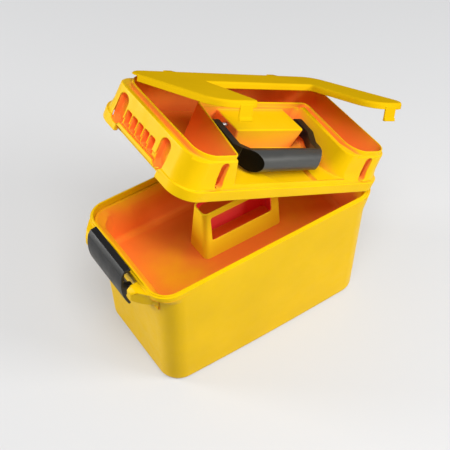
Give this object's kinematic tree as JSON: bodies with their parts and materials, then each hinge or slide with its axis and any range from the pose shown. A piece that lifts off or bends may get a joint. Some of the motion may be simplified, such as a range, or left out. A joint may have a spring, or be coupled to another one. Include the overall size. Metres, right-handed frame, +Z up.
{
  "type": "carrying case",
  "caption": "Upright moulded plastic carrying case with an end-hinged lid, end latch, folding handle, a covered U-shaped compartment in the lid and a lift-out tray.",
  "frame": {"origin": "middle of the flat underside of the base", "axes": "+X from the latch end to the lid hinge end, +Y from the front to the back, +Z up from the underside to the rim"},
  "size_m": [0.4356, 0.203, 0.4837],
  "materials": {
    "yellow_shell": "semi-gloss moulded, through-coloured yellow",
    "yellow_inner": "semi-gloss moulded, through-coloured yellow",
    "black_plastic": "semi-gloss moulded black",
    "steel_pin": "bright drawn wire"
  },
  "bodies": {
    "base": {"base_tub": "yellow_shell", "lid_hinge_pin": "steel_pin", "latch_pin": "steel_pin"},
    "tray": {"lift_out_tray": "yellow_inner"},
    "lid": {"lid_shell": "yellow_shell", "handle_pin_left": "steel_pin", "handle_pin_right": "steel_pin", "cover_hinge_pin_left": "steel_pin", "cover_hinge_pin_right": "steel_pin"},
    "cover": {"compartment_cover": "yellow_shell"},
    "handle": {"carry_handle": "black_plastic"},
    "latch_lever": {"latch": "black_plastic"}
  },
  "joints": [
    {"name": "lid_hinge", "type": "hinge", "parent": "base", "child": "lid", "pos_m": [0.186, 0, 0.209], "axis": [0, 1, 0], "range_deg": [-27.3, 72.7]},
    {"name": "cover_hinge", "type": "hinge", "parent": "lid", "child": "cover", "pos_m": [0.04677, 0.0965, 0.34478], "axis": [-0.8886, 0, 0.4587], "range_deg": [-21.5, 88.5]},
    {"name": "handle_pivot", "type": "hinge", "parent": "lid", "child": "handle", "pos_m": [0.04012, 0.003, 0.3319], "axis": [-0.8886, 0, 0.4587], "range_deg": [0, 95]},
    {"name": "latch_pivot", "type": "hinge", "parent": "base", "child": "latch_lever", "pos_m": [-0.19, 0, 0.1933], "axis": [0, -1, 0], "range_deg": [-8, 30]},
    {"name": "tray_lift", "type": "slide", "parent": "base", "child": "tray", "axis": [0, 0, 1], "range_m": [0, 0.003]}
  ]
}
